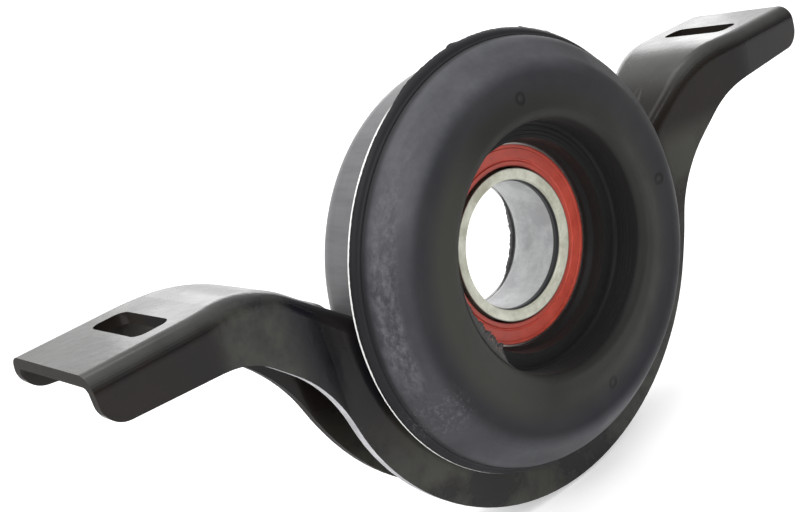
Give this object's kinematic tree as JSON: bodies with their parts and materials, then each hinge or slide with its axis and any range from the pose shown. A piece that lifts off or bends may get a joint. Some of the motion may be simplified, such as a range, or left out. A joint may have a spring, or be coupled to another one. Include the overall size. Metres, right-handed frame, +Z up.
{
  "type": "driveshaft centre bearing",
  "caption": "Driveshaft centre bearing: a sealed ball bearing in a rubber cushion and a flared steel sleeve, cradled by a pressed channel bracket with slotted wings.",
  "frame": {"origin": "centre of the bearing's bore, at the middle of the inner ring's length", "axes": "+X runs along the wings, +Y runs along the shaft from the front crown to the rear, and +Z points up, towards the face that the wings bolt to"},
  "size_m": [0.2208, 0.04, 0.111],
  "materials": {
    "bracket_paint": "gloss black",
    "sleeve_steel": "satin dark grey",
    "rubber": "satin, slightly bloomed",
    "bearing_steel": "ground, satin",
    "hidden_steel": "plain",
    "cage_steel": "plain",
    "ball_steel": "polished",
    "seal_rubber": "satin red",
    "shield_steel": "dark, satin"
  },
  "bodies": {
    "housing": {"bracket": "bracket_paint", "outer_sleeve": "sleeve_steel", "rubber_cushion": "rubber", "bearing_carrier": "hidden_steel", "bearing_outer_ring": "bearing_steel", "front_seal": "seal_rubber", "rear_seal": "seal_rubber"},
    "inner_ring": {"bearing_inner_ring": "bearing_steel", "rear_dust_shield": "shield_steel"},
    "ball_cage": {"ball_01": "ball_steel", "ball_02": "ball_steel", "ball_03": "ball_steel", "ball_04": "ball_steel", "ball_05": "ball_steel", "ball_06": "ball_steel", "ball_07": "ball_steel", "ball_08": "ball_steel", "ball_09": "ball_steel", "ball_10": "ball_steel", "ball_11": "ball_steel", "cage_front_half": "cage_steel", "cage_rear_half": "cage_steel", "cage_rivets": "cage_steel"}
  },
  "joints": [
    {"name": "shaft_spin", "type": "hinge", "parent": "housing", "child": "inner_ring", "pos_m": [0, 0, 0], "axis": [0, 1, 0], "continuous": true},
    {"name": "cage_spin", "type": "hinge", "parent": "housing", "child": "ball_cage", "pos_m": [0, 0, 0], "axis": [0, 1, 0], "continuous": true}
  ],
  "couplings": [
    {"joint": "cage_spin", "follows": "shaft_spin", "ratio": 0.41293}
  ]
}
